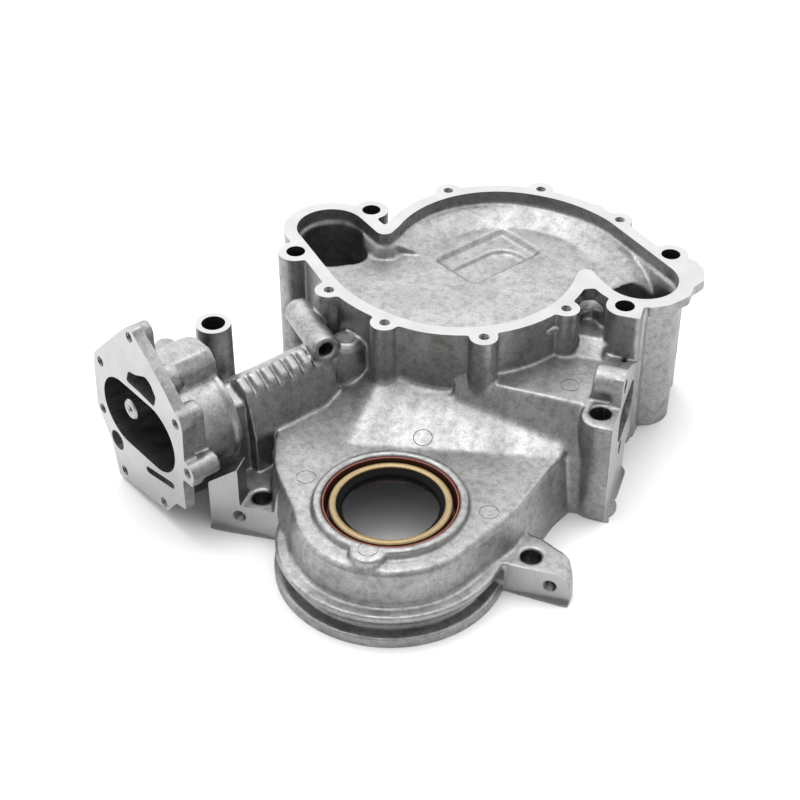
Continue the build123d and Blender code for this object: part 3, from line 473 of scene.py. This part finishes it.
def cast_aluminium():
    """Grey skin of a die casting: cloudy patches, fine grain and soft flow marks."""
    material, tree, shader = new_material("cast_aluminium", 1.0, 0.45)
    clouds = add_noise(tree, scale=38, detail=6, roughness=0.62)
    streaks = add_noise(tree, scale=90, detail=4, stretch=(1.0, 0.35, 1.0))
    grain = add_noise(tree, scale=1500, detail=3)
    blotches = add_noise(tree, scale=260, detail=5, roughness=0.6)
    speckle = add_noise(tree, scale=800, detail=3, roughness=0.7)
    dark, middle, light = (0.26, 0.26, 0.257), (0.31, 0.31, 0.307), (0.37, 0.37, 0.367)
    base = add_ramp(tree, clouds, [(0.3, dark), (0.5, middle), (0.7, light)])
    patch = add_ramp(tree, blotches, [(0.36, 0.62), (0.52, 1.0), (0.7, 1.12)])
    spots = add_ramp(tree, speckle, [(0.34, 0.55), (0.5, 1.0), (0.68, 1.25)])
    colour = add_mix(tree, 0.6, base, patch, "MULTIPLY")
    colour = add_mix(tree, 0.42, colour, spots, "MULTIPLY")
    tree.links.new(colour, shader.inputs["Base Color"])
    rough = add_ramp(tree, streaks, [(0.3, 0.36), (0.7, 0.52)])
    tree.links.new(rough, shader.inputs["Roughness"])
    add_bump(tree, shader, [(clouds, 0.0008, 0.25), (blotches, 0.00018, 0.45), (grain, 0.00004, 0.5)])
    return material


def milled_aluminium(name, dark, light):
    """Bright face left by a milling cutter, with faint arcs."""
    material, tree, shader = new_material(name, 1.0, 0.3)
    where = tree.nodes.new("ShaderNodeTexCoord")
    mapping = tree.nodes.new("ShaderNodeMapping")
    mapping.inputs["Location"].default_value = (0.9, 0.35, 0.0)
    arcs = tree.nodes.new("ShaderNodeTexWave")
    arcs.wave_type = "RINGS"
    arcs.rings_direction = "Z"
    arcs.inputs["Scale"].default_value = 420
    arcs.inputs["Distortion"].default_value = 1.2
    arcs.inputs["Detail"].default_value = 2
    tree.links.new(where.outputs["Object"], mapping.inputs["Vector"])
    tree.links.new(mapping.outputs["Vector"], arcs.inputs["Vector"])
    haze = add_noise(tree, scale=60, detail=4)
    colour = add_ramp(tree, haze, [(0.3, dark), (0.7, light)])
    tree.links.new(colour, shader.inputs["Base Color"])
    rough = add_ramp(tree, arcs.outputs["Fac"], [(0.0, 0.26), (1.0, 0.36)])
    tree.links.new(rough, shader.inputs["Roughness"])
    add_bump(tree, shader, [(arcs.outputs["Fac"], 0.00002, 0.25)])
    return material


def bored_aluminium_painted_shade():
    """Wall of a drilled, bored or tapped hole, with fine boring rings and a base colour darkened as painted
    shade for the inside of the holes.
    """
    material, tree, shader = new_material("bored_aluminium_painted_shade", 1.0, 0.34)
    rings = add_noise(tree, scale=900, detail=2, stretch=(0.1, 0.1, 1.0))
    # Base colour darker than the cast skin: painted shade for the inside of the holes; the ring noise is
    # the boring marks.
    colour = add_ramp(tree, rings, [(0.3, (0.17, 0.17, 0.167)), (0.7, (0.3, 0.3, 0.296))])
    tree.links.new(colour, shader.inputs["Base Color"])
    add_bump(tree, shader, [(rings, 0.00004, 0.5)])
    return material


def plain_material(name, rgb, metallic, roughness, grain, height):
    """One colour with slight mottling and a fine grain."""
    material, tree, shader = new_material(name, metallic, roughness)
    noise = add_noise(tree, scale=grain, detail=4)
    low = tuple(c * 0.8 for c in rgb)
    colour = add_ramp(tree, noise, [(0.3, low), (0.7, rgb)])
    tree.links.new(colour, shader.inputs["Base Color"])
    add_bump(tree, shader, [(noise, height, 0.4)])
    return material


# Seal and pin

def revolve(name, profile, centre, axis, sides, material):
    """Closed ring or pin turned from (radius, height) points in millimetres."""
    bm = bmesh.new()
    place = Matrix.Translation(Vector(centre)) @ turned(axis)
    columns = []
    for i in range(sides):
        a = 2 * math.pi * i / sides
        across = Vector((math.cos(a), math.sin(a), 0))
        columns.append([bm.verts.new(place @ ((across * r + UP * h) * MM)) for r, h in profile])
    n = len(profile)
    for i in range(sides):
        a, b = columns[i], columns[(i + 1) % sides]
        for j in range(n):
            k = (j + 1) % n
            bm.faces.new((a[j], b[j], b[k], a[k]))
    bmesh.ops.remove_doubles(bm, verts=bm.verts, dist=1e-7)
    bmesh.ops.recalc_face_normals(bm, faces=bm.faces)
    obj = make_object(name, bm)
    for p in obj.data.polygons:
        p.use_smooth = True
    obj.data.materials.append(material)
    return obj


def smooth_by_angle(obj, degrees):
    """Smooth shading that keeps edges sharper than the angle."""
    for p in obj.data.polygons:
        p.use_smooth = True
    obj.data.set_sharp_from_angle(angle=math.radians(degrees))


def fit(obj, node):
    """The piece stands for the node, which is hidden, and is attached to the root body."""
    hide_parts(node)
    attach(obj, "root")


def build_casting():
    cast, bored = cast_aluminium(), bored_aluminium_painted_shade()
    milled = milled_aluminium("milled_aluminium", dark=0.36, light=0.41)
    # Brighter copy of the milled finish for the slanted pump and distributor faces: the extra brightness is
    # painted light on those faces.
    milled_with_painted_light = milled_aluminium("milled_aluminium_painted_light", dark=0.38, light=0.45)
    skin = raw_casting()
    skin.data.materials.clear()
    skin.data.materials.append(cast)
    round_edges(skin)
    mill_faces(skin, milled, milled_with_painted_light)
    bore_holes(skin, bored)
    mark_ejectors(skin, cast)
    smooth_by_angle(skin, 42)
    fit(skin, "cover_casting")
    print("casting triangles", sum(len(p.vertices) - 2 for p in skin.data.polygons))


def garter_spring(ring_r, height, coil_r, wire_r, turns, material, steps=9, sides=5):
    """Closely wound wire coil bent into a ring, in millimetres."""
    bm = bmesh.new()
    rings = []
    total = turns * steps
    for i in range(total):
        round_ring = 2 * math.pi * i / total
        round_coil = 2 * math.pi * i / steps
        out = Vector((math.cos(round_ring), math.sin(round_ring), 0))
        side = out * math.cos(round_coil) + UP * math.sin(round_coil)
        middle = out * ring_r + UP * height + side * coil_r
        along = UP.cross(out)
        ring = []
        for k in range(sides):
            a = 2 * math.pi * k / sides
            ring.append(bm.verts.new((middle + (side * math.cos(a) + along * math.sin(a)) * wire_r) * MM))
        rings.append(ring)
    for i in range(total):
        a, b = rings[i], rings[(i + 1) % total]
        for k in range(sides):
            m = (k + 1) % sides
            bm.faces.new((a[k], b[k], b[m], a[m]))
    bmesh.ops.recalc_face_normals(bm, faces=bm.faces)
    obj = make_object("crank_seal_spring", bm)
    obj.data.materials.append(material)
    for p in obj.data.polygons:
        p.use_smooth = True
    return obj


def build_seal():
    red = plain_material("seal_red_edge", (0.3, 0.045, 0.03), 0.0, 0.45, 900, 0.00003)
    dark = plain_material("seal_dark_case", (0.055, 0.022, 0.012), 0.3, 0.4, 700, 0.00003)
    gold = plain_material("seal_gold_case", (0.33, 0.25, 0.135), 0.9, 0.45, 500, 0.00004)
    black = plain_material("seal_rubber", (0.003, 0.003, 0.003), 0.0, 0.5, 600, 0.00005)
    black.node_tree.nodes["Principled BSDF"].inputs["Specular IOR Level"].default_value = 0.1
    steel = plain_material("spring_steel", (0.5, 0.5, 0.5), 1.0, 0.3, 900, 0.00002)
    top, bottom = SEAL_TOP, SEAL_TOP - SEAL_DEPTH
    wall = 1.2
    outer = SEAL_BORE_R
    case = revolve("crank_seal_case", [
        (outer - 0.45, top), (outer, top - 0.5), (outer, bottom + 1.0), (outer - 1.0, bottom),
        (27.0, bottom), (27.0, bottom + wall), (outer - 2.0, bottom + wall), (outer - wall, bottom + 2.0),
        (outer - wall, top - 0.6), (outer - 1.0, top - 0.1), (outer - 0.7, top),
    ], SEAL_PLACE, UP, SEAL_SIDES, dark)
    case.data.materials.append(red)
    for p in case.data.polygons:
        if p.center.z > (top - RED_EDGE) * MM:
            p.material_index = 1
    smooth_by_angle(case, 40)
    fit(case, "seal_outer_case")
    ring_top = top - 0.6
    ring = revolve("crank_seal_ring", [
        (29.9, bottom + wall), (29.9, ring_top - 0.8), (29.3, ring_top - 0.1), (28.8, ring_top),
        (27.0, ring_top), (26.4, ring_top - 0.5), (26.4, ring_top - wall), (28.0, ring_top - wall),
        (28.7, ring_top - 2.0), (28.7, bottom + wall),
    ], SEAL_PLACE, UP, SEAL_SIDES, gold)
    smooth_by_angle(ring, 40)
    fit(ring, "seal_inner_case")
    lip = revolve("crank_seal_lip", [
        (28.6, ring_top - wall - 0.05), (28.6, bottom + wall), (27.6, bottom + wall), (27.6, top - 6.4),
        (27.1, top - 5.9), (25.2, top - 5.9), (25.2, top - 7.4), (25.0, top - 7.7), (24.4, top - 7.7),
        (SEAL_LIP_R, top - 5.2), (SEAL_LIP_R, top - 4.2), (24.3, top - 3.5), (25.2, top - 2.8),
        (26.1, top - 2.1), (26.4, ring_top - wall - 0.05),
    ], SEAL_PLACE, UP, SEAL_SIDES, black)
    smooth_by_angle(lip, 50)
    fit(lip, "seal_lip")
    spring = garter_spring(ring_r=26.15, height=SEAL_TOP - 6.68, coil_r=0.76, wire_r=0.3, turns=240,
                           material=steel)
    fit(spring, "seal_garter_spring")


def build_idler_pin():
    steel = plain_material("pin_steel", (0.42, 0.41, 0.4), 1.0, 0.32, 700, 0.00003)
    length = GEAR_POCKET_DEPTH + IDLER_SEAT - IDLER_RECESS
    face = on_drive(DRIVE_T - GEAR_PITCH, PUMP_FACE_S + IDLER_RECESS, DRIVE_H)
    pin = revolve("idler_pin", [
        (IDLER_R - IDLER_CHAMFER, 0), (IDLER_R, IDLER_CHAMFER), (IDLER_R, length),
        (IDLER_CENTRE_R, length), (IDLER_CENTRE_R, 0.9), (IDLER_CENTRE_R + 0.9, 0),
    ], face, drive_dir, 64, steel)
    smooth_by_angle(pin, 35)
    fit(pin, "pump_idler_shaft")


# Camera, floor and light

def build_stage():
    bm = bmesh.new()
    bmesh.ops.create_grid(bm, x_segments=1, y_segments=1, size=FLOOR_SIZE)
    floor = make_object("floor", bm)
    floor.location.z = -FLOOR_DROP
    material, tree, shader = new_material("floor_white", 0.0, 0.6)
    shader.inputs["Base Color"].default_value = (FLOOR_GREY, FLOOR_GREY, FLOOR_GREY, 1)
    shader.inputs["Specular IOR Level"].default_value = 0.1
    floor.data.materials.append(material)


def add_light(name, place, target, size, power):
    data = bpy.data.lights.new(name, "AREA")
    data.shape = "RECTANGLE"
    data.size, data.size_y = size
    data.energy = power
    light = bpy.data.objects.new(name, data)
    light.location = place
    light.rotation_euler = (Vector(target) - Vector(place)).to_track_quat("-Z", "Y").to_euler()
    bpy.context.scene.collection.objects.link(light)


def build_lights():
    """Soft studio light from the whole sky and one large lamp above."""
    world = bpy.data.worlds.new("studio")
    world.use_nodes = True
    tree = world.node_tree
    where = tree.nodes.new("ShaderNodeTexCoord")
    dot = tree.nodes.new("ShaderNodeVectorMath")
    dot.operation = "DOT_PRODUCT"
    dot.inputs[1].default_value = Matrix.Rotation(PART_YAW, 3, "Z") @ Vector(SKY_BRIGHT_WAY).normalized()
    tree.links.new(where.outputs["Generated"], dot.inputs[0])
    half = tree.nodes.new("ShaderNodeMath")
    half.operation = "MULTIPLY_ADD"
    half.inputs[1].default_value = 0.5
    half.inputs[2].default_value = 0.5
    tree.links.new(dot.outputs["Value"], half.inputs[0])
    glow = add_ramp(tree, half.outputs["Value"], SKY_STEPS)
    background = tree.nodes["Background"]
    background.inputs["Strength"].default_value = SKY_STRENGTH
    tree.links.new(glow, background.inputs["Color"])
    bpy.context.scene.world = world
    add_light("top_softbox", SOFTBOX_PLACE, SOFTBOX_AIM, SOFTBOX_SIZE, SOFTBOX_POWER)
    bpy.context.scene.view_settings.view_transform = "Standard"


def build_camera():
    data = bpy.data.cameras.new("photo_camera")
    data.lens = CAMERA_LENS
    data.sensor_width = 36
    camera = bpy.data.objects.new("photo_camera", data)
    over_floor = Vector((0, -math.cos(CAMERA_PITCH), math.sin(CAMERA_PITCH))) * CAMERA_DISTANCE - PART_PLACE
    camera.location = Matrix.Rotation(PART_YAW, 3, "Z") @ over_floor * MM
    camera.rotation_euler = (math.pi / 2 - CAMERA_PITCH, 0, PART_YAW)
    bpy.context.scene.collection.objects.link(camera)
    bpy.context.scene.camera = camera


build_camera()
build_stage()
build_lights()
build_casting()
build_seal()
build_idler_pin()

bpy.context.view_layer.update()
